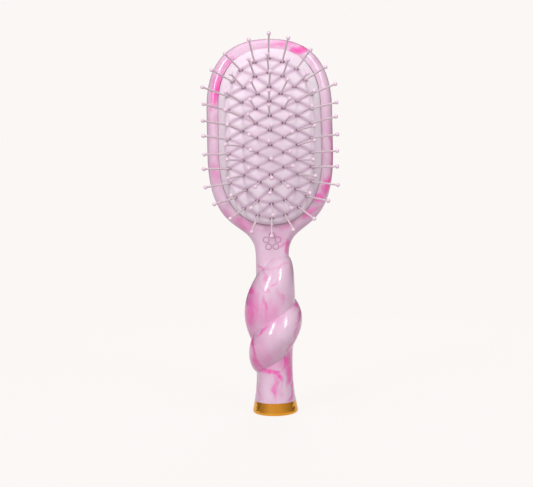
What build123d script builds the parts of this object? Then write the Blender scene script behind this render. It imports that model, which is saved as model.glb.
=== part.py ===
from build123d import *
import math
import os

# Paddle brush, standing on its end cap. Millimetres.
# +Z runs from the cap to the head, the pins face -Y, and the origin is the centre of the cap's flat end.

# Head
head_length = 128.0  # from the neck to the top of the head
head_width = 74.0
head_thickness = 14.0
head_edge = 5.5  # round along the head's front and back edges
crown_drop = 42.0  # from the top of the head to where its sides run straight
crown_fullness = 0.67  # 0.55 would be an ellipse
taper_start = 62.0  # above the neck, where the sides begin to draw in
taper_reach = 54.0  # pull of the side on the taper
neck_reach = 24.4  # pull of the neck on the taper

# Neck and handle
neck_height = 92.0  # of the narrowest place, above the cap's flat end
neck_width = 19.5
shaft_radius = 10.7  # of the plain shaft under the twist
shaft_height = 22.0
twist_core_radius = 11.3
twist_core_height = 58.0
bore_radius = 7.5
bore_depth = 66.0  # from the handle's lower end

# Twist: two strands wound round the core, right-handed, each leaning further out at the end that shows
twist_rate = 4.78  # degrees a millimetre
upper_strand = dict(low=25.9, high=92.0, radius=15.0, offset=2.1, angle=-168.6, top_lean=3.8)
lower_strand = dict(low=22.2, high=73.9, radius=13.5, offset=4.9, angle=-70.4, foot_lean=2.6)
strand_end_radius = 6.0
strand_sections = 11

# Cap
cap_height = 7.2
cap_top_radius = 12.25
cap_low_radius = 13.65
cap_edge = 1.5
cap_wall = 1.6
plug_length = 13.0  # inside the handle
plug_wall = 2.0
bond_gap = 0.05

# Opening for the cushion
rim_width = 7.0
opening_bottom = 18.2  # above the neck
opening_depth = 10.5
opening_crown_drop = 34.0
opening_taper_start = 40.0  # above the opening's lower end
opening_taper_reach = 30.0
opening_foot_reach = 15.3
opening_fullness = 0.66
groove_depth = 1.2
groove_height = 2.0
groove_setback = 3.0  # from the front of the rim

# Cushion
crown_height = 10.0  # of its middle, proud of the rim
side_sag = 7.0  # of its surface at the sides
end_sag = 6.0  # of its surface at the ends
shoulder_radius = 3.0
rubber = 1.6
cushion_gap = 0.15
cushion_travel = 3.0

# Pins, in columns that lie upright on the head
column_pins = (9, 10, 11, 12, 11, 10, 9)
side_margin = 6.1  # from the outer columns to the opening
end_margin = 5.4  # from the last pins of the middle column to the opening, on average
spread_pins = (0, 2, 1, 0)  # at each end of a column, set further out, middle column first
spread = 2.1
pattern_drop = 1.8  # of the pattern's middle under the opening's
outer_inset = 3.1  # of the last pins of the outer columns
inner_inset = 1.4  # of the pins next to the spread ones
pin_radius = 0.55
pin_length = 20.5  # proud of the cushion, with its tip
tip_radius = 1.15
tip_grip = 1.5  # of pin inside the tip
tip_gap = 0.01
side_lean = 43.5  # degrees, of the outer columns
end_lean = 33.0  # degrees, of the last pins of the middle column
lean_scatter = 2.5  # degrees, because moulded pins never stand quite alike
head_radius = 1.7
head_height = 0.8
head_gap = 1.0  # under the rubber
slot_gap = 0.3  # across the slot
slot_play = 0.95  # along the slot, each way

# Small flower pressed into the neck
flower_height = 8.6  # above the neck
flower_petals = 5
petal_radius = 1.9
petal_place = 3.6
flower_line = 0.5
flower_depth = 0.35

# Places worked out from the sizes above
rim_front = -head_thickness / 2
head_top = neck_height + head_length
opening_half = head_width / 2 - rim_width
opening_low = neck_height + opening_bottom
opening_high = head_top - rim_width
opening_middle = (opening_low + opening_high) / 2
opening_half_length = (opening_high - opening_low) / 2
opening_floor = rim_front + opening_depth
groove_front = rim_front + groove_setback
groove_back = groove_front + groove_height
bead_front = groove_front + cushion_gap
bead_back = groove_back - cushion_gap
crown_front = rim_front - crown_height
side_radius = (opening_half**2 + side_sag**2) / (2 * side_sag)
end_radius = (opening_half_length**2 + end_sag**2) / (2 * end_sag)
crown_axis = crown_front + side_radius
column_pitch = (opening_half - side_margin) / 3
row_reach = opening_half_length - end_margin  # from the pattern's middle to the middle column's last pins
row_pitch = 2 * row_reach / (max(column_pins) - 1)
pattern_middle = opening_middle - pattern_drop

os.makedirs("parts", exist_ok=True)


def dome_front(x, z, depth=0.0):
    """Y of the cushion's surface at x and z, or of a surface that lies depth under it."""
    reach = end_radius - depth
    sag = reach - math.sqrt(reach**2 - (z - opening_middle) ** 2)
    radius = side_radius - depth - sag
    return crown_axis - math.sqrt(radius**2 - x**2)


def pin_seats(column):
    """One plane for each pin of a column: on the cushion, with its normal along the pin."""
    step = column - 3
    count = column_pins[column]
    spread_count = spread_pins[abs(step)]
    planes = []
    for row in range(count):
        place = row - (count - 1) / 2
        from_end = min(row, count - 1 - row)
        x = step * column_pitch
        rise = place * row_pitch
        if from_end < spread_count:
            rise += math.copysign(spread, place)
        elif spread_count and from_end == spread_count:
            x -= math.copysign(inner_inset, step)
        elif abs(step) == 3 and from_end == 0:
            x -= math.copysign(outer_inset, step)
        z = pattern_middle + rise
        side = x / (3 * column_pitch)
        end = rise / row_reach
        scatter = math.tan(math.radians(lean_scatter))
        lean_x = math.tan(math.radians(side_lean)) * side * (0.53 + 0.47 * side**2)
        lean_x += scatter * math.sin(2.4 * row + 1.9 * column)
        lean_z = math.tan(math.radians(end_lean)) * end * (0.52 + 0.48 * end**6)
        lean_z += scatter * math.sin(3.7 * row + 2.3 * column)
        normal = Vector(lean_x, -1, lean_z).normalized()
        across = Vector(1, 0, 0) - normal * normal.X
        planes.append(Plane(origin=(x, dome_front(x, z), z), x_dir=across, z_dir=normal))
    return planes


def save(part, name):
    part.label = name
    export_step(part, f"parts/{name}.step")


# Outline of the head, down to the neck
with BuildSketch(Plane.XZ.offset(-head_thickness / 2)) as head_outline:
    side = head_width / 2
    neck = neck_width / 2
    side_top = head_top - crown_drop
    side_low = neck_height + taper_start
    with BuildLine():
        Line((0, neck_height), (neck, neck_height))
        Bezier(
            (neck, neck_height),
            (neck, neck_height + neck_reach),
            (side, side_low - taper_reach),
            (side, side_low),
        )
        Line((side, side_low), (side, side_top))
        Bezier(
            (side, side_top),
            (side, side_top + crown_fullness * crown_drop),
            (crown_fullness * side, head_top),
            (0, head_top),
        )
        mirror(about=Plane.YZ)
    make_face()

def opening_face(front, inset=0.0):
    """The opening's outline, an egg with its point to the handle, at Y of front and drawn in by inset."""
    half = opening_half - inset
    low = opening_low + inset
    high = opening_high - inset
    straight_low = opening_low + opening_taper_start
    straight_high = opening_high - opening_crown_drop
    taper = opening_taper_reach - 0.55 * inset
    foot = opening_foot_reach - 0.55 * inset
    crown_reach = opening_fullness * (high - straight_high)
    with BuildSketch(Plane.XZ.offset(-front)) as outline:
        with BuildLine():
            Bezier((0, low), (foot, low), (half, straight_low - taper), (half, straight_low))
            Line((half, straight_low), (half, straight_high))
            Bezier(
                (half, straight_high),
                (half, straight_high + crown_reach),
                (opening_fullness * half, high),
                (0, high),
            )
            mirror(about=Plane.YZ)
        make_face()
    return outline.sketch


# Head, with its edges rounded all round except where the neck carries on
with BuildPart() as head:
    extrude(head_outline.sketch, amount=head_thickness)
    rim_edges = head.edges().filter_by(Plane.XZ).filter_by(lambda edge: edge.center().Z > neck_height + 0.1)
    fillet(rim_edges, head_edge)

# Neck, from the head's section to a round one inside the twist
neck_sections = (
    (neck_height, neck_width, head_thickness, head_edge),
    (neck_height - 3, neck_width, head_thickness + 0.6, head_edge + 0.8),
    (neck_height - 14, neck_width + 0.4, neck_width - 1.0, neck_width / 2 - 0.6),
    (twist_core_height, 2 * twist_core_radius, 2 * twist_core_radius, twist_core_radius - 0.1),
)
with BuildPart() as neck_core:
    for height, width, thickness, corner in neck_sections:
        with BuildSketch(Plane.XY.offset(height)):
            RectangleRounded(width, thickness, corner)
    loft()

# Round shaft under the twist, flared to the cap
shaft_sections = (
    (twist_core_height, twist_core_radius),
    ((twist_core_height + shaft_height) / 2, (twist_core_radius + shaft_radius) / 2),
    (shaft_height, shaft_radius),
    ((shaft_height + cap_height) / 2, shaft_radius + 0.3 * (cap_top_radius - shaft_radius)),
    (cap_height, cap_top_radius),
)
with BuildPart() as shaft:
    for height, radius in shaft_sections:
        with BuildSketch(Plane.XY.offset(height)):
            Circle(radius)
    loft()


def wind_strand(low, high, radius, offset, angle, top_lean=0, foot_lean=0):
    """One strand of the twist: round sections that swell and lean out in the middle of its run."""
    with BuildPart() as strand:
        for section in range(strand_sections):
            share = section / (strand_sections - 1)
            height = low + share * (high - low)
            swell = math.sin(math.pi * share)
            turn = math.radians(angle + twist_rate * (height - (low + high) / 2))
            lean = offset * swell**0.35 + top_lean * share**5 + foot_lean * (1 - share) ** 5
            with BuildSketch(Plane.XY.offset(height)):
                with Locations((lean * math.cos(turn), lean * math.sin(turn))):
                    Circle(strand_end_radius + (radius - strand_end_radius) * swell**0.85)
        loft()
    return strand.part


with BuildPart() as paddle_body:
    add(head.part)
    add(neck_core.part)
    add(shaft.part)
    add(wind_strand(**upper_strand))
    add(wind_strand(**lower_strand))
    # Pocket for the cushion, with the groove for its bead
    extrude(opening_face(rim_front), amount=-opening_depth, mode=Mode.SUBTRACT)
    extrude(opening_face(groove_front, -groove_depth), amount=-groove_height, mode=Mode.SUBTRACT)
    # Bore up the handle
    with BuildSketch(Plane.XY.offset(cap_height)):
        Circle(bore_radius)
    extrude(amount=bore_depth, mode=Mode.SUBTRACT)
    # Flower
    with BuildSketch(Plane.XZ.offset(-rim_front)):
        with Locations((0, neck_height + flower_height)):
            with PolarLocations(petal_place, flower_petals, start_angle=90):
                Circle(petal_radius)
                Circle(petal_radius - flower_line, mode=Mode.SUBTRACT)
            Circle(petal_place - petal_radius - flower_line)
    extrude(amount=-flower_depth, mode=Mode.SUBTRACT)
save(paddle_body.part, "paddle_body")


def crown(depth):
    """Barrel whose front is the cushion's surface, or a surface that lies depth under it."""
    reach = end_radius - depth
    ends = opening_half_length + 2
    sag = reach - math.sqrt(reach**2 - ends**2)
    front = crown_front + depth
    with BuildPart() as barrel:
        with BuildSketch(Plane.YZ):
            with BuildLine():
                ThreePointArc(
                    (front + sag, opening_middle - ends),
                    (front, opening_middle),
                    (front + sag, opening_middle + ends),
                )
                Polyline(
                    (front + sag, opening_middle + ends),
                    (crown_axis, opening_middle + ends),
                    (crown_axis, opening_middle - ends),
                    (front + sag, opening_middle - ends),
                )
            make_face()
        revolve(axis=Axis((0, crown_axis, 0), (0, 0, 1)))
    return barrel.part


def pad_block(inset, depth, shoulder):
    """Solid under the crown, inset from the opening, with a rounded shoulder and an open back."""
    with BuildPart() as block:
        extrude(opening_face(bead_back, inset), amount=bead_back - crown_front + 1)
        add(crown(depth), mode=Mode.INTERSECT)
        fillet(block.faces().sort_by(Axis.Y)[0].edges(), shoulder)
    return block.part


with BuildPart() as cushion_pad:
    add(pad_block(cushion_gap, 0, shoulder_radius))
    extrude(opening_face(bead_back, cushion_gap - groove_depth), amount=bead_back - bead_front)
    add(pad_block(cushion_gap + rubber, rubber, shoulder_radius - rubber), mode=Mode.SUBTRACT)
    for column in range(len(column_pins)):
        for seat in pin_seats(column):
            with BuildSketch(seat.offset(-2 * rubber)):
                SlotCenterToCenter(2 * (slot_play - slot_gap), 2 * (pin_radius + slot_gap))
    extrude(amount=4 * rubber, mode=Mode.SUBTRACT)
save(cushion_pad.part, "cushion_pad")

# Pins and their tips, a column at a time
head_top_depth = rubber + head_gap
ball_place = pin_length - tip_radius
pin_end = ball_place - tip_radius + tip_grip
for column in range(len(column_pins)):
    with BuildPart() as pins:
        for seat in pin_seats(column):
            with BuildSketch(seat.offset(-head_top_depth)):
                Circle(pin_radius)
        extrude(amount=head_top_depth + pin_end)
        for seat in pin_seats(column):
            with BuildSketch(seat.offset(-head_top_depth - head_height)):
                Circle(head_radius)
        extrude(amount=head_height)
    save(pins.part, f"pins_column_{column + 1}")
    with BuildPart() as tips:
        with Locations(*[seat.offset(ball_place) for seat in pin_seats(column)]):
            Sphere(tip_radius)
        for seat in pin_seats(column):
            with BuildSketch(seat.offset(pin_end + tip_gap)):
                Circle(pin_radius + tip_gap)
        extrude(amount=-2 * tip_radius, mode=Mode.SUBTRACT)
    save(tips.part, f"tips_column_{column + 1}")

# Cap, a shallow cup that widens to the flat end
with BuildPart() as end_cap:
    with BuildSketch():
        Circle(cap_low_radius)
    with BuildSketch(Plane.XY.offset(cap_height)):
        Circle(cap_top_radius)
    loft()
    fillet(end_cap.edges().sort_by(Axis.Z)[0], cap_edge)
    with BuildSketch(Plane.XY.offset(cap_wall)):
        Circle(cap_top_radius - cap_wall)
    extrude(amount=cap_height, mode=Mode.SUBTRACT)
save(end_cap.part, "end_cap")

# Plug, bonded in the bore and in the cap, moulded hollow from its upper end
with BuildPart() as cap_plug:
    with BuildSketch(Plane.XY.offset(cap_wall)):
        Circle(cap_top_radius - cap_wall - bond_gap)
    extrude(amount=cap_height - cap_wall)
    with BuildSketch(Plane.XY.offset(cap_height)):
        Circle(bore_radius - bond_gap)
    extrude(amount=plug_length)
    with BuildSketch(Plane.XY.offset(cap_height + plug_length)):
        Circle(bore_radius - bond_gap - plug_wall)
    extrude(amount=-(cap_height + plug_length - cap_wall - plug_wall), mode=Mode.SUBTRACT)
save(cap_plug.part, "cap_plug")
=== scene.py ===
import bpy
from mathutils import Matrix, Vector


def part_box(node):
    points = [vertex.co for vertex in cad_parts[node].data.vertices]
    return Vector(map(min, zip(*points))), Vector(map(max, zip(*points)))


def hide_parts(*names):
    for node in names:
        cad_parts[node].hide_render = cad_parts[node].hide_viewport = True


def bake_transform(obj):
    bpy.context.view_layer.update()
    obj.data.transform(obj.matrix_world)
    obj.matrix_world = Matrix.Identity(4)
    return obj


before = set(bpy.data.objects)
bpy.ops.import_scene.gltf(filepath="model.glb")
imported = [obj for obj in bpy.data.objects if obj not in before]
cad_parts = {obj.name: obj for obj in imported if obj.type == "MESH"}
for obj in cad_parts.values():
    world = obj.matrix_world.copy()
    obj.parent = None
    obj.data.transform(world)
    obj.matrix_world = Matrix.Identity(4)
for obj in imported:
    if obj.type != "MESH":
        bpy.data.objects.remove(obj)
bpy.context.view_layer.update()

import math
import bpy
import bmesh
import numpy as np
from mathutils import Vector, Matrix

mm = 0.001


def hexToLinear(code):
    channels = [int(code[i:i + 2], 16) / 255 for i in (1, 3, 5)]
    return [c / 12.92 if c <= 0.04045 else ((c + 0.055) / 1.055) ** 2.4 for c in channels] + [1.0]


def addNode(tree, kind, settings=None, links=None):
    # settings: attributes, or input values by name or number; links: input -> output socket
    node = tree.nodes.new(kind)
    for key, value in (settings or {}).items():
        if isinstance(key, int) or key in node.inputs:
            node.inputs[key].default_value = value
        else:
            setattr(node, key, value)
    for key, source in (links or {}).items():
        tree.links.new(source, node.inputs[key])
    return node


def newMaterial(name):
    material = bpy.data.materials.new(name)
    material.use_nodes = True
    tree = material.node_tree
    tree.nodes.clear()
    return material, tree


def dress(node, material):
    # every slot of a CAD node takes the one material
    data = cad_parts[node].data
    data.materials.clear()
    data.materials.append(material)


# places read from the frame
padLow, padHigh = (Vector(c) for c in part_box("cushion_pad"))
bodyLow, bodyHigh = (Vector(c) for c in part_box("paddle_body"))
capLow = Vector(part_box("end_cap")[0])

print("stage: materials")

# Cast resin, tumbled and polished: the eye gets milky lilac with hot pink folded in while it was thick, seen
# through a clear and glassy surface
resin = {
    "milk": "#E8DDE6", "haze": "#DECAD8", "blush": "#E69AC9", "pink": "#F658B8",
    "foldMm": 26.0,  # across one fold of the colour
    "stirPerFold": 1.6, "cloudsPerFold": 1.5, "veinsPerFold": 0.75,  # how many of each lie across a fold
    "stirMm": 6.0,  # how far the folds wander
    "curlMm": 7.5, "curlReachMm": 6.5,  # smaller curls along their edges
    "streakMm": 6.25,  # between the finer streaks in a fold
    "veinLevel": 0.52, "veinWidth": 0.04, "veinFill": 0.34,  # of the slow noise: where, how wide, how full
    "foldCore": 0.2, "foldEdge": 1.9, "foldMerge": 0.12,  # full colour ends, colour ends, softness of a join
    "whiteLeaves": 0.3,  # how much pink is left under a full white fold
    "roughness": 0.2, "ior": 1.5,
    "glow": 0.2, "glowReach": (4.0 * mm, 2.0 * mm, 3.0 * mm),
    "coat": 0.6, "coatRoughness": 0.11, "coatTint": "#F3CFE6",
    # pink folds: middle, half-sizes and lean (degrees in the XZ plane), then how full the colour is
    "folds": [
        # round the rim
        ((-29, -6, 191), (3.2, 9, 10), -18, 1.0), ((-24, -6, 205), (4, 9, 7), -48, 0.6),
        ((18.5, -6, 212), (6, 9, 2.2), 20, 1.0), ((8, -6, 215), (9, 9, 2.6), 4, 0.62),
        ((32, -6, 133), (2.2, 9, 6), -28, 1.0), ((27.5, -6, 126.5), (2.2, 9, 3), -60, 1.0),
        ((21, -7, 117.5), (5.5, 8, 2), 32, 0.75), ((37, -3, 146), (1.3, 9, 18), 3, 0.85),
        ((-17, -7, 110.5), (6, 8, 2.6), -35, 0.62), ((-28, -6, 118), (8, 8, 3), -48, 0.42),
        ((-32.5, -6, 141), (2.6, 8, 8), 0, 0.5), ((-31, -6, 152), (2.4, 8, 4), 20, 0.36),
        ((-32, -6, 170), (1.6, 8, 14), 0, 0.3), ((34, -6, 168), (1.2, 8, 8), 0, 0.24),
        # neck: a vein down its right edge and a fine one at the left
        ((9.0, -5, 97), (1.1, 8, 4), 6, 0.8), ((6.5, -8, 98), (3.0, 6, 0.8), 30, 0.6),
        ((-6.5, -9, 84.5), (4.6, 6, 0.6), -48, 0.6), ((-4.2, -11, 79), (0.7, 6, 3.2), 0, 0.5),
        ((-4, -12, 73), (2.2, 6, 1.3), 0, 0.5), ((8, -7, 109), (4, 7, 1.4), 35, 0.5),
        # upper strand
        ((-12, -8, 72), (2.4, 9, 2.6), 0, 1.0), ((-13, -8, 60), (4.2, 13, 13), -6, 0.82),
        ((-9.5, -12, 62), (1.6, 9, 9), 4, 0.6), ((-5, -15, 62), (1.0, 8, 7), 4, 0.72),
        ((2, -14, 77.5), (4.2, 7, 1.1), 22, 0.6), ((-2, -14, 58), (10, 9, 8), 0, 0.52),
        ((4.5, -13, 68), (1.6, 8, 6), 14, 0.45), ((4, -14, 57), (9, 9, 1.6), 38, 0.66),
        ((12.5, -9, 64), (1.4, 8, 1.8), 40, 0.9),
        # lower strand
        ((-12.2, -10, 41), (1.6, 10, 10), 8, 0.95), ((-10.5, -11, 31), (5, 9, 2.0), -48, 0.85),
        ((-7, -14, 49), (5, 8, 1.0), 40, 0.8), ((-7, -14, 38), (4.5, 8, 8), 12, 0.36),
        ((-4, -15, 32), (8, 8, 6), 10, 0.5), ((14.2, -8, 56), (1.1, 10, 12), -8, 0.85),
        ((11, -9, 42), (1.0, 9, 8), -32, 0.8),
        # shaft
        ((-5, -10, 26.8), (5.2, 7, 1.5), -4, 1.0), ((1, -11, 25), (3.0, 7, 1.8), -30, 1.0),
        ((2.2, -11, 22), (1.5, 7, 2.0), 40, 1.0), ((-0.2, -11, 17), (1.6, 7, 6), 6, 0.8),
        ((4, -10, 30), (3.2, 7, 2.2), 0, 0.5), ((7.0, -8, 30), (1.9, 8, 5), -14, 1.0),
        ((8.4, -7, 24), (1.6, 8, 6), -10, 1.0), ((9.8, -6, 15), (1.0, 8, 9), -8, 0.8),
        ((10.2, -5, 34), (0.9, 8, 6), 0, 0.85), ((3.5, -10, 15), (2.2, 7, 6), 0, 0.3),
        ((-10.2, -6, 16), (0.5, 8, 9), 2, 0.6),
        # the back, which follows the same stirring
        ((20, 9, 170), (9, 6, 5), 25, 0.8), ((-12, 9, 196), (15, 6, 4), -12, 0.8),
        ((-22, 9, 140), (5, 6, 13), 14, 0.62), ((6, 9, 118), (9, 6, 3), 20, 0.55),
        ((7, 12, 62), (4, 9, 12), 18, 0.7), ((-6, 11, 36), (5, 8, 5), 30, 0.65),
    ],
    # milk-white folds over them, the same way
    "whites": [
        ((8, -12, 78), (6, 8, 6), 20, 1.0), ((-1, -13, 71), (2.2, 8, 3), 0, 0.4),
        ((9, -13, 56), (5, 9, 7), 30, 1.0), ((5, -15, 50), (6, 9, 7), 40, 0.55),
        ((-6, -9, 15), (2.8, 7, 8), 4, 1.0), ((5.5, -9, 14), (1.6, 7, 7), 0, 0.7),
        ((-10, -8, 94), (3, 8, 12), 0, 0.5), ((32, -6, 192), (5, 8, 14), -14, 1.0),
        ((32.5, -6, 178), (2.0, 8, 8), 0, 0.5), ((-32.5, -6, 128), (3, 8, 6), 0, 0.5),
        ((-12, -6, 211), (9, 8, 3), 0, 0.8), ((33, -6, 157), (2, 8, 6), 0, 0.7),
        ((-32, -6, 161), (2, 8, 8), 0, 0.7), ((0, -8, 33), (4, 7, 1.6), 20, 0.5),
    ],
}

# the pressed flower on the neck: its engraved lines get painted shade, a rose tint where the grooves lie in
# shadow. All in mm
flower = {
    "middle": (0, 0, 100.6), "petals": 5, "place": 3.6, "radius": 1.65,
    "lineFull": 0.15, "lineEnd": 0.45, "lineShare": 0.85,  # either side of the line, and how strong the painted shade is
    "behind": -5.5,  # nothing further back than this Y is shaded
    # the painted shade in the grooves
    "colour": "#C99CB8",
}


def bend(tree, point, scale, roughness, reachMm):
    # moves each point by a soft noise, so that what is drawn there folds or curls
    noise = addNode(tree, "ShaderNodeTexNoise", {"Scale": scale, "Detail": 2.0, "Roughness": roughness},
                    {"Vector": point}).outputs["Color"]
    centred = addNode(tree, "ShaderNodeVectorMath", {"operation": "SUBTRACT", 1: (0.5, 0.5, 0.5)},
                      {0: noise}).outputs[0]
    push = addNode(tree, "ShaderNodeVectorMath", {"operation": "SCALE", "Scale": reachMm},
                   {0: centred}).outputs[0]
    return addNode(tree, "ShaderNodeVectorMath", {"operation": "ADD"}, {0: point, 1: push}).outputs[0]


def thinVeins(tree, point, spec, fade):
    # where a slow noise crosses one level, fading in and out
    noise = addNode(tree, "ShaderNodeTexNoise",
                    {"Scale": 1 / spec["foldMm"] * spec["veinsPerFold"], "Detail": 1.5, "Roughness": 0.4,
                     "Distortion": 0.6}, {"Vector": point}).outputs["Fac"]
    away = addNode(tree, "ShaderNodeMath", {"operation": "SUBTRACT", 1: spec["veinLevel"]},
                   {0: noise}).outputs[0]
    size = addNode(tree, "ShaderNodeMath", {"operation": "ABSOLUTE"}, {0: away}).outputs[0]
    vein = addNode(tree, "ShaderNodeMapRange",
                   {"From Min": 0.0, "From Max": spec["veinWidth"], "To Min": spec["veinFill"], "To Max": 0.0,
                    "interpolation_type": "SMOOTHSTEP"}, {"Value": size}).outputs[0]
    return addNode(tree, "ShaderNodeMath", {"operation": "MULTIPLY"}, {0: vein, 1: fade}).outputs[0]


def foldMask(tree, point, spec, folds, total):
    # each fold is a soft leaning ellipsoid; where several meet, the fullest counts
    for centre, size, lean, weight in folds:
        away = addNode(tree, "ShaderNodeVectorMath", {"operation": "SUBTRACT", 1: centre},
                       {0: point}).outputs[0]
        turned = addNode(tree, "ShaderNodeVectorRotate",
                         {"rotation_type": "Y_AXIS", "Angle": math.radians(lean)},
                         {"Vector": away}).outputs[0]
        shaped = addNode(tree, "ShaderNodeVectorMath", {"operation": "DIVIDE", 1: size},
                         {0: turned}).outputs[0]
        reach = addNode(tree, "ShaderNodeVectorMath", {"operation": "LENGTH"}, {0: shaped}).outputs["Value"]
        fold = addNode(tree, "ShaderNodeMapRange",
                       {"From Min": spec["foldCore"], "From Max": spec["foldEdge"], "To Min": weight,
                        "To Max": 0.0, "interpolation_type": "SMOOTHSTEP"}, {"Value": reach}).outputs[0]
        if total is None:
            total = fold
        else:
            total = addNode(tree, "ShaderNodeMath", {"operation": "SMOOTH_MAX", 2: spec["foldMerge"]},
                            {0: total, 1: fold}).outputs[0]
    return total


def flowerGrooveShade(tree, inMm, spec):
    # painted shade along the engraved lines: one petal is drawn and repeated round the middle
    fromMiddle = addNode(tree, "ShaderNodeVectorMath", {"operation": "SUBTRACT", 1: spec["middle"]},
                         {0: inMm}).outputs[0]
    part = addNode(tree, "ShaderNodeSeparateXYZ", None, {0: fromMiddle}).outputs
    flat = addNode(tree, "ShaderNodeVectorMath", {"operation": "MULTIPLY", 1: (1, 0, 1)},
                   {0: fromMiddle}).outputs[0]
    radius = addNode(tree, "ShaderNodeVectorMath", {"operation": "LENGTH"}, {0: flat}).outputs["Value"]
    angle = addNode(tree, "ShaderNodeMath", {"operation": "ARCTAN2"}, {0: part["X"], 1: part["Z"]}).outputs[0]
    sector = 2 * math.pi / spec["petals"]
    inSector = addNode(tree, "ShaderNodeMath", {"operation": "WRAP", 1: sector / 2, 2: -sector / 2},
                       {0: angle}).outputs[0]
    sides = []
    for turn in ("SINE", "COSINE"):
        share = addNode(tree, "ShaderNodeMath", {"operation": turn}, {0: inSector}).outputs[0]
        sides.append(addNode(tree, "ShaderNodeMath", {"operation": "MULTIPLY"},
                             {0: radius, 1: share}).outputs[0])
    petalPoint = addNode(tree, "ShaderNodeCombineXYZ", None, {0: sides[0], 2: sides[1]}).outputs[0]
    toPetal = addNode(tree, "ShaderNodeVectorMath", {"operation": "DISTANCE", 1: (0, 0, spec["place"])},
                      {0: petalPoint}).outputs["Value"]
    offLine = addNode(tree, "ShaderNodeMath", {"operation": "SUBTRACT", 1: spec["radius"]},
                      {0: toPetal}).outputs[0]
    size = addNode(tree, "ShaderNodeMath", {"operation": "ABSOLUTE"}, {0: offLine}).outputs[0]
    onLine = addNode(tree, "ShaderNodeMapRange",
                     {"From Min": spec["lineFull"], "From Max": spec["lineEnd"],
                      "To Min": spec["lineShare"], "To Max": 0.0}, {"Value": size}).outputs[0]
    atFront = addNode(tree, "ShaderNodeMath", {"operation": "LESS_THAN", 1: spec["behind"]},
                      {0: part["Y"]}).outputs[0]
    return addNode(tree, "ShaderNodeMath", {"operation": "MULTIPLY"}, {0: onLine, 1: atFront}).outputs[0]


def makeResin(spec):
    material, tree = newMaterial("polishedMarbledResin")
    place = addNode(tree, "ShaderNodeTexCoord").outputs["Object"]
    inMm = addNode(tree, "ShaderNodeVectorMath", {"operation": "SCALE", "Scale": 1 / mm},
                   {0: place}).outputs[0]
    # every mask is bent by the same slow stirring and a quicker curl, so folds and streaks run together
    swept = bend(tree, inMm, 1 / spec["foldMm"] * spec["stirPerFold"], 0.45, spec["stirMm"])
    bent = bend(tree, swept, 1 / spec["curlMm"], 0.5, spec["curlReachMm"])
    clouds = addNode(tree, "ShaderNodeTexNoise",
                     {"Scale": 1 / spec["foldMm"] * spec["cloudsPerFold"], "Detail": 2.5, "Roughness": 0.5,
                      "Distortion": 0.7}, {"Vector": bent}).outputs["Fac"]
    cloudShare = addNode(tree, "ShaderNodeMapRange",
                         {"From Min": 0.36, "From Max": 0.64, "interpolation_type": "SMOOTHSTEP"},
                         {"Value": clouds}).outputs[0]
    base = addNode(tree, "ShaderNodeMix",
                   {"data_type": "RGBA", 6: hexToLinear(spec["haze"]), 7: hexToLinear(spec["milk"])},
                   {0: cloudShare}).outputs[2]
    veins = thinVeins(tree, bent, spec, cloudShare)
    white = foldMask(tree, bent, spec, spec["whites"], None)
    folds = foldMask(tree, bent, spec, spec["folds"], veins)
    # finer streaks inside the folds
    streak = addNode(tree, "ShaderNodeTexNoise",
                     {"Scale": 1 / spec["streakMm"], "Detail": 2.5, "Roughness": 0.55, "Distortion": 1.2},
                     {"Vector": bent}).outputs["Fac"]
    broken = addNode(tree, "ShaderNodeMapRange",
                     {"From Min": 0.3, "From Max": 0.6, "To Min": 0.8, "To Max": 1.05},
                     {"Value": streak}).outputs[0]
    amount = addNode(tree, "ShaderNodeMath", {"operation": "MULTIPLY"}, {0: folds, 1: broken}).outputs[0]
    # white folds thin the pink as well as covering it
    thinned = addNode(tree, "ShaderNodeMapRange", {"To Min": 1.0, "To Max": spec["whiteLeaves"]},
                      {"Value": white}).outputs[0]
    amount = addNode(tree, "ShaderNodeMath", {"operation": "MULTIPLY"}, {0: amount, 1: thinned}).outputs[0]
    colour = addNode(tree, "ShaderNodeMix", {"data_type": "RGBA", 7: hexToLinear(spec["milk"])},
                     {0: white, 6: base}).outputs[2]
    # a thin fold is blush, a full one pink
    for tone, low, high in (("blush", 0.1, 0.62), ("pink", 0.55, 1.0)):
        share = addNode(tree, "ShaderNodeMapRange", {"From Min": low, "From Max": high},
                        {"Value": amount}).outputs[0]
        colour = addNode(tree, "ShaderNodeMix", {"data_type": "RGBA", 7: hexToLinear(spec[tone])},
                         {0: share, 6: colour}).outputs[2]
    # painted shade in the flower's engraved grooves
    colour = addNode(tree, "ShaderNodeMix", {"data_type": "RGBA", 7: hexToLinear(flower["colour"])},
                     {0: flowerGrooveShade(tree, inMm, flower), 6: colour}).outputs[2]
    surface = addNode(tree, "ShaderNodeBsdfPrincipled",
                      {"Roughness": spec["roughness"], "IOR": spec["ior"],
                       "Subsurface Weight": spec["glow"], "Subsurface Radius": spec["glowReach"],
                       "Subsurface Scale": 1.0, "Coat Weight": spec["coat"],
                       "Coat Roughness": spec["coatRoughness"], "Coat Tint": hexToLinear(spec["coatTint"])},
                      {"Base Color": colour})
    addNode(tree, "ShaderNodeOutputMaterial", None, {"Surface": surface.outputs[0]})
    return material


# Silicone rubber, moulded: the eye gets a satin skin with a little light passing through it, with painted
# shade
#  down in its valleys, in its slots and at the gap round its edge, where the real rubber only lies in shadow
rubber = {
    # shade is a random darker tone and also the painted shade of the valleys; slot and seam are painted shade
    # in the slots and in the gap at the rim
    "light": "#F0E5EE", "shade": "#BF9EB6", "slot": "#5E0E3C", "seam": "#CC4F97",
    "cloudMm": 45.5, "cloudShare": 0.35,
    "grainMm": 0.35,  # the mould's own grain is finer; this is as fine as shows
    "roughness": 0.42, "ior": 1.43, "glow": 0.45, "glowReach": (3.5 * mm, 2.0 * mm, 3.0 * mm),
}


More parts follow.
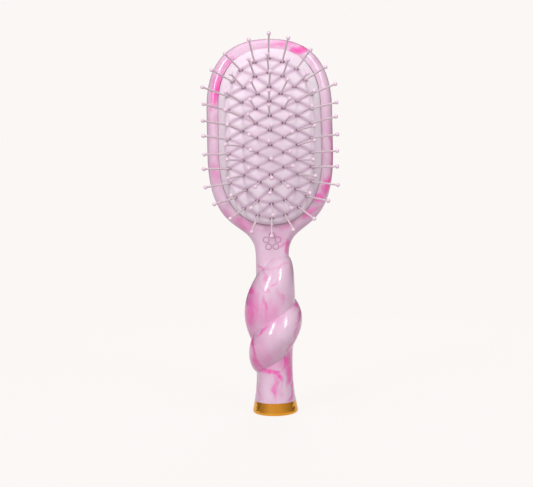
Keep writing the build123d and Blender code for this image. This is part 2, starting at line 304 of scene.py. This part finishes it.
def makeRubber(spec):
    material, tree = newMaterial("mouldedSatinRubber")
    place = addNode(tree, "ShaderNodeTexCoord").outputs["Object"]
    valley = addNode(tree, "ShaderNodeAttribute", {"attribute_name": "valley"}).outputs["Fac"]
    cloud = addNode(tree, "ShaderNodeTexNoise", {"Scale": 1 / (spec["cloudMm"] * mm), "Detail": 2.0},
                    {"Vector": place}).outputs["Fac"]
    mixed = addNode(tree, "ShaderNodeMapRange",
                    {"From Min": 0.3, "From Max": 0.7, "To Min": 0.0, "To Max": spec["cloudShare"]},
                    {"Value": cloud}).outputs[0]
    # painted shade: the valleys and the dimples round the seats darken towards the shade colour, on top of
    # the random cloud tone
    toneAndValleyShade = addNode(tree, "ShaderNodeMath", {"operation": "MAXIMUM"}, {0: mixed, 1: valley}).outputs[0]
    colour = addNode(tree, "ShaderNodeMix",
                     {"data_type": "RGBA", 6: hexToLinear(spec["light"]), 7: hexToLinear(spec["shade"])},
                     {0: toneAndValleyShade}).outputs[2]
    # painted shade: a deep plum in the slots and a deep pink in the gap at the rim
    for name in ("slot", "seam"):
        share = addNode(tree, "ShaderNodeAttribute", {"attribute_name": name}).outputs["Fac"]
        colour = addNode(tree, "ShaderNodeMix", {"data_type": "RGBA", 7: hexToLinear(spec[name])},
                         {0: share, 6: colour}).outputs[2]
    grain = addNode(tree, "ShaderNodeTexNoise", {"Scale": 1 / (spec["grainMm"] * mm), "Detail": 2.0},
                    {"Vector": place}).outputs["Fac"]
    bump = addNode(tree, "ShaderNodeBump", {"Strength": 0.06, "Distance": 0.05 * mm},
                   {"Height": grain}).outputs[0]
    surface = addNode(tree, "ShaderNodeBsdfPrincipled",
                      {"Roughness": spec["roughness"], "IOR": spec["ior"],
                       "Subsurface Weight": spec["glow"], "Subsurface Radius": spec["glowReach"],
                       "Subsurface Scale": 1.0},
                      {"Base Color": colour, "Normal": bump})
    addNode(tree, "ShaderNodeOutputMaterial", None, {"Surface": surface.outputs[0]})
    return material


# Nylon, moulded: the eye gets a satin pale stem, a little darker than the cushion behind it
pinNylon = {"name": "mouldedNylonPin", "light": "#DFD1D6", "shade": "#CEBFC5", "roughness": 0.33,
            "ior": 1.53, "glow": 0.0}
# Resin, dipped on and cured: the eye gets a smoother, pinker bead that catches the light
tipResin = {"name": "dippedResinTip", "light": "#E9D3E2", "shade": "#DFC3D6", "roughness": 0.28,
            "ior": 1.5, "glow": 0.1}
# Polypropylene, moulded: waxy and dull. It is out of sight inside the handle
plugPlastic = {"name": "mouldedPolypropylene", "light": "#D8CBD4", "shade": "#CCBDC8", "roughness": 0.5,
               "ior": 1.49, "glow": 0.0}
plasticCloudMm = 6.25
plasticGrainMm = 0.4  # the mould's own grain is finer; this is as fine as shows
plasticGlowReach = (1.0 * mm, 0.8 * mm, 0.9 * mm)


def makePlastic(spec):
    # two close tones in soft clouds, and a faint moulded texture
    material, tree = newMaterial(spec["name"])
    place = addNode(tree, "ShaderNodeTexCoord").outputs["Object"]
    cloud = addNode(tree, "ShaderNodeTexNoise", {"Scale": 1 / (plasticCloudMm * mm), "Detail": 2.0},
                    {"Vector": place}).outputs["Fac"]
    tone = addNode(tree, "ShaderNodeMix",
                   {"data_type": "RGBA", 6: hexToLinear(spec["light"]), 7: hexToLinear(spec["shade"])},
                   {0: cloud}).outputs[2]
    grain = addNode(tree, "ShaderNodeTexNoise", {"Scale": 1 / (plasticGrainMm * mm), "Detail": 2.0},
                    {"Vector": place}).outputs["Fac"]
    bump = addNode(tree, "ShaderNodeBump", {"Strength": 0.05, "Distance": 0.02 * mm},
                   {"Height": grain}).outputs[0]
    surface = addNode(tree, "ShaderNodeBsdfPrincipled",
                      {"Roughness": spec["roughness"], "IOR": spec["ior"],
                       "Subsurface Weight": spec["glow"], "Subsurface Radius": plasticGlowReach,
                       "Subsurface Scale": 1.0},
                      {"Base Color": tone, "Normal": bump})
    addNode(tree, "ShaderNodeOutputMaterial", None, {"Surface": surface.outputs[0]})
    return material


# Gold plate over polished metal: the eye gets a warm mirror, with faint polishing lines round it
gold = {
    "bright": "#F2B043", "worn": "#C98426", "roughness": 0.13,
    "lineMm": 0.5, "lineRunMm": 33.3,  # real polishing lines are finer; these are as fine as shows
    "toneMm": 11.1, "swellMm": 5.88,
}


def makeGold(spec):
    material, tree = newMaterial("polishedGoldPlate")
    place = addNode(tree, "ShaderNodeTexCoord").outputs["Object"]
    along, across = 1 / (spec["lineRunMm"] * mm), 1 / (spec["lineMm"] * mm)
    stretched = addNode(tree, "ShaderNodeMapping", {"Scale": (along, along, across)},
                        {"Vector": place}).outputs[0]
    lines = addNode(tree, "ShaderNodeTexNoise", {"Scale": 1.0, "Detail": 3.0},
                    {"Vector": stretched}).outputs["Fac"]
    cloud = addNode(tree, "ShaderNodeTexNoise", {"Scale": 1 / (spec["toneMm"] * mm), "Detail": 3.0},
                    {"Vector": place}).outputs["Fac"]
    tone = addNode(tree, "ShaderNodeMix",
                   {"data_type": "RGBA", 6: hexToLinear(spec["bright"]), 7: hexToLinear(spec["worn"])},
                   {0: cloud}).outputs[2]
    rough = addNode(tree, "ShaderNodeMapRange",
                    {"To Min": spec["roughness"] * 0.8, "To Max": spec["roughness"] * 1.3},
                    {"Value": lines}).outputs[0]
    # polishing leaves it very slightly uneven, which breaks up what it reflects
    swell = addNode(tree, "ShaderNodeTexNoise",
                    {"Scale": 1 / (spec["swellMm"] * mm), "Detail": 2.0, "Distortion": 0.8},
                    {"Vector": place}).outputs["Fac"]
    uneven = addNode(tree, "ShaderNodeBump", {"Strength": 0.6, "Distance": 0.5 * mm},
                     {"Height": swell}).outputs[0]
    bump = addNode(tree, "ShaderNodeBump", {"Strength": 0.04, "Distance": 0.02 * mm},
                   {"Height": lines, "Normal": uneven}).outputs[0]
    surface = addNode(tree, "ShaderNodeBsdfPrincipled", {"Metallic": 1.0},
                      {"Base Color": tone, "Roughness": rough, "Normal": bump})
    addNode(tree, "ShaderNodeOutputMaterial", None, {"Surface": surface.outputs[0]})
    return material


rubberMaterial = makeRubber(rubber)
pinMaterial = makePlastic(pinNylon)
tipMaterial = makePlastic(tipResin)

columns = range(1, 8)
dress("paddle_body", makeResin(resin))
dress("end_cap", makeGold(gold))
dress("cap_plug", makePlastic(plugPlastic))
for number in columns:
    dress("pins_column_%d" % number, pinMaterial)
    dress("tips_column_%d" % number, tipMaterial)

print("stage: quilted cushion")

# The cushion's surface follows the CAD dome, puffed between the seats like a buttoned seat
cushion = {
    "bead": 1.05 * mm,  # the CAD box also holds the bead, which stands out under the rim
    "sideSag": 7.0 * mm, "endSag": 6.0 * mm,  # of the dome, at its sides and ends
    "straightLow": 40.0 * mm, "straightHigh": 34.0 * mm,  # from the opening's ends to its straight sides
    "taperReach": 30.0 * mm, "footReach": 15.3 * mm, "fullness": 0.66,
    "insetShare": 0.55,  # how much shorter those reaches get as the outline is drawn in
    "curveSteps": 400, "straightSteps": 100,
    "gap": 0.08 * mm, "rubber": 1.5 * mm,
    # seamTurns: over how many of the shoulder's last turns the painted shade of the gap fades in
    "shoulder": 3.4 * mm, "shoulderDrop": 2.6 * mm, "shoulderTurns": 8, "seamTurns": 2,
    "skirtBack": -2.3 * mm, "skirtSteps": (0.35, 0.7, 1.0),
    "innerDrop": 1.6 * mm, "innerEdgeDrop": 3.4 * mm,  # further back of the inner face, and of its edge
    "puff": 0.85 * mm, "puffFade": 0.07,  # the puffs flatten over this share of the way in
    "valleyWidth": 1.55 * mm, "seatWidth": 1.3 * mm, "valleySharpness": 1.5,
    "linkReach": 7.4 * mm,  # seats nearer in height than this are joined by a valley
    "valleyMiddle": 0.72, "outerValley": 0.55, "endValley": 0.7,  # depth, as a share of a seat's
    "slotHalf": 0.75 * mm, "slotRadius": 0.42 * mm, "slotDepth": 0.5 * mm, "slotEdge": 0.45 * mm,
    "seatAbovePinBack": 3.4 * mm, "pinFront": 1.0 * mm, "weld": 0.001 * mm,
    "across": 156, "along": 266,
}
openingHalf = padHigh.x - cushion["bead"]
openingLow = padLow.z + cushion["bead"]
openingHigh = padHigh.z - cushion["bead"]
openingMiddle = (openingLow + openingHigh) / 2
openingHalfLength = (openingHigh - openingLow) / 2
domeTop = padLow.y
sideRadius = (openingHalf ** 2 + cushion["sideSag"] ** 2) / (2 * cushion["sideSag"])
endRadius = (openingHalfLength ** 2 + cushion["endSag"] ** 2) / (2 * cushion["endSag"])


def domeFront(x, z, depth=0.0):
    reach = endRadius - depth
    sag = reach - np.sqrt(reach ** 2 - (z - openingMiddle) ** 2)
    radius = sideRadius - depth - sag
    return domeTop + sideRadius - np.sqrt(radius ** 2 - x ** 2)


def bezierPoints(corners, steps):
    t = np.linspace(0, 1, steps, endpoint=False)[:, None]
    p = [np.array(corner) for corner in corners]
    return (1 - t) ** 3 * p[0] + 3 * (1 - t) ** 2 * t * p[1] + 3 * (1 - t) * t ** 2 * p[2] + t ** 3 * p[3]


def openingReach(inset):
    # distance from the opening's middle to its outline, drawn in by inset, against the angle from +X
    half, low, high = openingHalf - inset, openingLow + inset, openingHigh - inset
    straightLow = openingLow + cushion["straightLow"]
    straightHigh = openingHigh - cushion["straightHigh"]
    taper = cushion["taperReach"] - cushion["insetShare"] * inset
    foot = cushion["footReach"] - cushion["insetShare"] * inset
    full = cushion["fullness"]
    curve, straight = cushion["curveSteps"], cushion["straightSteps"]
    sideLow, sideHigh = (half, straightLow), (half, straightHigh)
    crown = (half, straightHigh + full * (high - straightHigh))
    right = np.vstack([
        bezierPoints([(0, low), (foot, low), (half, straightLow - taper), sideLow], curve),
        bezierPoints([sideLow, sideLow, sideHigh, sideHigh], straight),
        bezierPoints([sideHigh, crown, (full * half, high), (0, high)], curve), [[0, high]]])
    angle = np.arctan2(right[:, 1] - openingMiddle, right[:, 0])
    reach = np.hypot(right[:, 0], right[:, 1] - openingMiddle)
    return angle, reach


def reachAt(phi, table):
    # the outline is the same on both sides, so an angle on the left is read on the right
    mirrored = np.where(np.cos(phi) < 0, np.where(phi > 0, np.pi - phi, -np.pi - phi), phi)
    return np.interp(mirrored, table[0], table[1])


def pinSeats(node):
    # where each pin of a column crosses the cushion, from the pin's own mesh
    work = bmesh.new()
    work.from_mesh(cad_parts[node].data)
    bmesh.ops.remove_doubles(work, verts=work.verts, dist=cushion["weld"])
    left = set(work.verts)
    seats = []
    while left:
        first = left.pop()
        island, edge = [first], [first]
        while edge:
            nextEdge = []
            for vert in edge:
                for link in vert.link_edges:
                    other = link.other_vert(vert)
                    if other in left:
                        left.discard(other)
                        nextEdge.append(other)
            island += nextEdge
            edge = nextEdge
        points = np.array([vert.co for vert in island])
        front = points[points[:, 1] < points[:, 1].min() + cushion["pinFront"]].mean(axis=0)
        direction = np.linalg.svd(points - points.mean(axis=0), full_matrices=False)[2][0]
        if direction[1] > 0:
            direction = -direction
        along = (points - front) @ direction
        backEnd = front + direction * along.min()
        seats.append(backEnd + direction * cushion["seatAbovePinBack"])
    work.free()
    return sorted(seats, key=lambda seat: seat[2])


seatColumns = [pinSeats("pins_column_%d" % number) for number in columns]

# valleys run from each seat to its neighbours in the next column, and shallower down the outer columns
# and along the two ends
valleys = []
for left, right in zip(seatColumns, seatColumns[1:]):
    for a in left:
        for b in right:
            if abs(a[2] - b[2]) < cushion["linkReach"]:
                valleys.append((a[0], a[2], b[0], b[2], 1.0))
for outer in (seatColumns[0], seatColumns[-1]):
    for a, b in zip(outer, outer[1:]):
        valleys.append((a[0], a[2], b[0], b[2], cushion["outerValley"]))
for end in (0, -1):
    ends = [column[end] for column in seatColumns]
    for a, b in zip(ends, ends[1:]):
        valleys.append((a[0], a[2], b[0], b[2], cushion["endValley"]))
valleys = np.array(valleys)
allSeats = np.array([(seat[0], seat[2]) for column in seatColumns for seat in column])


def quilt(x, z):
    # how deep each point lies in a valley (0 to 1) and in a slot (0 to 1); both also set the painted shade
    middle = cushion["valleyMiddle"]
    valley = np.zeros(len(x))
    for ax, az, bx, bz, weight in valleys:
        run = ((x - ax) * (bx - ax) + (z - az) * (bz - az)) / ((bx - ax) ** 2 + (bz - az) ** 2)
        run = np.clip(run, 0, 1)
        away = np.hypot(x - ax - run * (bx - ax), z - az - run * (bz - az))
        # the valley is deepest at its two seats
        floor = weight * (middle + (1 - middle) * (2 * run - 1) ** 2)
        depth = floor * np.exp(-np.abs(away / cushion["valleyWidth"]) ** cushion["valleySharpness"])
        valley = np.maximum(valley, depth)
    slot = np.zeros(len(x))
    dimple = np.zeros(len(x))
    for sx, sz in allSeats:
        away = np.hypot(np.maximum(np.abs(x - sx) - cushion["slotHalf"], 0), z - sz)
        inside = np.clip((cushion["slotRadius"] - away) / cushion["slotEdge"] + 0.5, 0, 1)
        slot = np.maximum(slot, inside * inside * (3 - 2 * inside))
        dimple = np.maximum(dimple, np.exp(-(away / cushion["seatWidth"]) ** 2))
    return np.maximum(valley, dimple), slot


def makeCushion():
    across, along = cushion["across"], cushion["along"]
    table = openingReach(cushion["gap"] + cushion["shoulder"])
    u, v = np.meshgrid(np.linspace(-1, 1, across + 1), np.linspace(-1, 1, along + 1))
    u, v = u.ravel(), v.ravel()
    # square grid to disc, disc to ellipse, ellipse to the opening's egg
    ex = u * np.sqrt(1 - v * v / 2) * openingHalf
    ez = v * np.sqrt(1 - u * u / 2) * openingHalfLength
    phi = np.arctan2(ez, ex)
    ellipse = 1 / np.sqrt((np.cos(phi) / openingHalf) ** 2 + (np.sin(phi) / openingHalfLength) ** 2)
    grow = reachAt(phi, table) / ellipse
    x, z = ex * grow, openingMiddle + ez * grow
    valley, slot = quilt(x, z)
    share = np.hypot(x, z - openingMiddle) / reachAt(phi, table)
    fade = np.clip((1 - share) / cushion["puffFade"], 0, 1)
    y = domeFront(x, z) - cushion["puff"] * (1 - valley) * fade + slot * cushion["slotDepth"]
    innerY = domeFront(x, z, cushion["rubber"]) + cushion["innerDrop"]
    count = len(x)
    verts = [tuple(p) for p in np.column_stack([x, y, z])]
    verts += [tuple(p) for p in np.column_stack([x, innerY, z])]
    valleyValues = list(valley) + [0.0] * count
    slotValues = list(slot) + [0.0] * count
    seamValues = [0.0] * (2 * count)  # how close to the gap at the rim, where painted shade turns the rubber a deeper pink
    row = across + 1
    faces = []
    for j in range(along):
        for i in range(across):
            a = j * row + i
            faces.append((a, a + 1, a + row + 1, a + row))
            faces.append((count + a, count + a + row, count + a + row + 1, count + a + 1))
    rim = list(range(0, across)) + [j * row + across for j in range(along)]
    rim += [along * row + i for i in range(across, 0, -1)] + [j * row for j in range(along, 0, -1)]
    size = len(rim)

    def addLoop(inset, height, base, seam=0.0):
        # one more loop round the edge: inset from the opening's outline, its Y from height(x, z)
        edgeTable = openingReach(inset)
        start = len(verts)
        for index in rim:
            angle = math.atan2(verts[index][2] - openingMiddle, verts[index][0])
            reach = float(reachAt(np.array([angle]), edgeTable)[0])
            px, pz = reach * math.cos(angle), openingMiddle + reach * math.sin(angle)
            verts.append((px, height(px, pz), pz))
            valleyValues.append(0.0)
            slotValues.append(0.0)
            seamValues.append(seam)
        for k in range(size):
            n = (k + 1) % size
            faces.append((base[n], base[k], start + k, start + n))
        return [start + k for k in range(size)]

    loop = rim
    turns, seamTurns = cushion["shoulderTurns"], cushion["seamTurns"]
    for turn in range(1, turns + 1):
        angle = math.pi / 2 * turn / turns
        inset = cushion["gap"] + cushion["shoulder"] * (1 - math.sin(angle))
        drop = cushion["shoulderDrop"] * (1 - math.cos(angle))
        # the painted shade of the gap fades in over the shoulder's last turns
        seam = max(0.0, (turn - (turns - seamTurns)) / seamTurns)
        loop = addLoop(inset, lambda px, pz: float(domeFront(px, pz)) + drop, loop, seam)
    top = [verts[index][1] for index in loop]
    for step in cushion["skirtSteps"]:
        loop = addLoop(cushion["gap"], lambda px, pz: 0.0, loop, 1.0)
        for k, index in enumerate(loop):
            drawn = top[k] + step * (cushion["skirtBack"] - top[k])
            verts[index] = (verts[index][0], drawn, verts[index][2])
    inner = cushion["gap"] + cushion["rubber"]
    loop = addLoop(inner, lambda px, pz: cushion["skirtBack"], loop)
    edgeDrop = cushion["innerEdgeDrop"]
    loop = addLoop(inner, lambda px, pz: float(domeFront(px, pz, cushion["rubber"])) + edgeDrop, loop)
    for k in range(size):
        n = (k + 1) % size
        faces.append((loop[n], loop[k], count + rim[k], count + rim[n]))
    mesh = bpy.data.meshes.new("quiltedCushion")
    mesh.from_pydata(verts, [], faces)
    mesh.update()
    # the valley, slot and seam values also go to the rubber's colour as painted shade
    for name, values in (("valley", valleyValues), ("slot", slotValues), ("seam", seamValues)):
        attribute = mesh.attributes.new(name, "FLOAT", "POINT")
        attribute.data.foreach_set("value", np.array(values, np.float32))
    work = bmesh.new()
    work.from_mesh(mesh)
    bmesh.ops.recalc_face_normals(work, faces=work.faces)
    work.to_mesh(mesh)
    work.free()
    for face in mesh.polygons:
        face.use_smooth = True
    piece = bpy.data.objects.new("quiltedCushion", mesh)
    bpy.context.collection.objects.link(piece)
    mesh.materials.append(rubberMaterial)
    return piece


cushionPiece = makeCushion()
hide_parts("cushion_pad")
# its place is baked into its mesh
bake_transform(cushionPiece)

print("stage: floor, light and camera")

# Uncoated background paper on a roll: the eye gets one even matt tone with only a trace of shadow
studio = {
    "paper": "#FBF7F5", "paperGlow": 0.945, "paperDiffuse": 0.05,
    "fibreMm": 2.5,  # real fibre is finer; this is as fine as shows
    "nearEnds": 0.12, "farStarts": 0.6,  # metres from the brush, between which the paper gains its full tone
    "tile": 1.2, "tiles": 10, "tilesLeft": 5, "tilesFront": 3, "floorGap": 0.02 * mm,
    "room": "#FBF1F5", "front": 0.86, "back": 0.2, "frontAt": -1.0, "backAt": 0.35,
}


def makePaper(spec):
    material, tree = newMaterial("seamlessPaper")
    place = addNode(tree, "ShaderNodeTexCoord").outputs["Object"]
    fibre = addNode(tree, "ShaderNodeTexNoise", {"Scale": 1 / (spec["fibreMm"] * mm), "Detail": 2.0},
                    {"Vector": place}).outputs["Fac"]
    bump = addNode(tree, "ShaderNodeBump", {"Strength": 0.02, "Distance": 0.05 * mm},
                   {"Height": fibre}).outputs[0]
    glow = addNode(tree, "ShaderNodeEmission",
                   {"Color": hexToLinear(spec["paper"]), "Strength": spec["paperGlow"]})
    sheet = addNode(tree, "ShaderNodeBsdfDiffuse", {"Color": [spec["paperDiffuse"]] * 3 + [1.0]},
                    {"Normal": bump})
    near = addNode(tree, "ShaderNodeAddShader", None, {0: glow.outputs[0], 1: sheet.outputs[0]})
    # away from the brush the paper reaches its full tone and meets the sweep without a line
    full = addNode(tree, "ShaderNodeEmission", {"Color": hexToLinear(spec["paper"]), "Strength": 1.0})
    distance = addNode(tree, "ShaderNodeVectorMath", {"operation": "LENGTH"}, {0: place}).outputs["Value"]
    far = addNode(tree, "ShaderNodeMapRange", {"From Min": spec["nearEnds"], "From Max": spec["farStarts"]},
                  {"Value": distance}).outputs[0]
    both = addNode(tree, "ShaderNodeMixShader", None, {0: far, 1: near.outputs[0], 2: full.outputs[0]})
    addNode(tree, "ShaderNodeOutputMaterial", None, {"Surface": both.outputs[0]})
    return material


tile, tiles = studio["tile"], studio["tiles"]
floorMesh = bpy.data.meshes.new("studioFloor")
floorBuild = bmesh.new()
corners = [floorBuild.verts.new(((i - studio["tilesLeft"]) * tile, (j - studio["tilesFront"]) * tile,
                                 capLow.z - studio["floorGap"]))
           for j in range(tiles + 1) for i in range(tiles + 1)]
for j in range(tiles):
    for i in range(tiles):
        a = j * (tiles + 1) + i
        floorBuild.faces.new((corners[a], corners[a + 1], corners[a + tiles + 2], corners[a + tiles + 1]))
floorBuild.to_mesh(floorMesh)
floorBuild.free()
floorPiece = bpy.data.objects.new("studioFloor", floorMesh)
bpy.context.collection.objects.link(floorPiece)
floorMesh.materials.append(makePaper(studio))
floorPiece.visible_diffuse = False  # the paper's own glow doesn't light the brush from below

world = bpy.data.worlds.new("studioWorld")
bpy.context.scene.world = world
world.use_nodes = True
# the paper sweeps up behind the brush at full tone, and lights it more softly than it looks
worldTree = world.node_tree
worldTree.nodes.clear()
seen = addNode(worldTree, "ShaderNodeBackground", {"Color": hexToLinear(studio["paper"]), "Strength": 1.0})
# the room is brightest on the camera's side, so the brush's own sides fall into a soft pink shade
way = addNode(worldTree, "ShaderNodeTexCoord").outputs["Generated"]
towards = addNode(worldTree, "ShaderNodeSeparateXYZ", None, {0: way}).outputs["Y"]
frontShare = addNode(worldTree, "ShaderNodeMapRange",
                     {"From Min": studio["frontAt"], "From Max": studio["backAt"],
                      "To Min": studio["front"], "To Max": studio["back"]}, {"Value": towards}).outputs[0]
cast = addNode(worldTree, "ShaderNodeBackground", {"Color": hexToLinear(studio["room"])},
               {"Strength": frontShare})
rayKind = addNode(worldTree, "ShaderNodeLightPath").outputs["Is Camera Ray"]
sweep = addNode(worldTree, "ShaderNodeMixShader", None, {0: rayKind, 1: cast.outputs[0], 2: seen.outputs[0]})
addNode(worldTree, "ShaderNodeOutputWorld", None, {"Surface": sweep.outputs[0]})

# place in metres, power in watts, width and height in metres, and whether it shows in glossy surfaces
softboxes = {
    "keyLeft": ((-0.46, -0.65, 0.55), 3.3, 0.15, 0.42, True),
    "keyRight": ((0.44, -0.68, 0.62), 2.2, 0.12, 0.42, True),
    "topFill": ((0.0, -0.1, 0.9), 1.5, 0.6, 0.6, True),
    "backFill": ((0.1, 0.85, 0.55), 6.0, 0.6, 0.6, False),
}
aim = Vector((0, 0, (bodyLow.z + bodyHigh.z) / 2))
for name, (place, watts, width, height, shine) in softboxes.items():
    lamp = bpy.data.lights.new(name, "AREA")
    lamp.shape = "RECTANGLE"
    lamp.size, lamp.size_y, lamp.energy = width, height, watts
    holder = bpy.data.objects.new(name, lamp)
    bpy.context.collection.objects.link(holder)
    holder.visible_camera = False
    holder.visible_glossy = shine
    holder.location = place
    holder.rotation_euler = (aim - Vector(place)).to_track_quat("-Z", "Y").to_euler()

view = {"place": (-0.0033, -0.464, 0.0996), "lens": 53, "sensor": 36, "roll": 1.2}  # metres, mm and degrees
camera = bpy.data.cameras.new("studioCamera")
camera.lens = view["lens"]
camera.sensor_width = view["sensor"]
cameraHolder = bpy.data.objects.new("studioCamera", camera)
bpy.context.collection.objects.link(cameraHolder)
cameraHolder.location = view["place"]
roll = Matrix.Rotation(math.radians(view["roll"]), 4, "Y")
cameraHolder.rotation_euler = (roll @ Matrix.Rotation(math.radians(90), 4, "X")).to_euler()
bpy.context.scene.camera = cameraHolder
bpy.context.scene.view_settings.view_transform = "Standard"
bpy.context.scene.view_settings.look = "None"

print("stage: done")
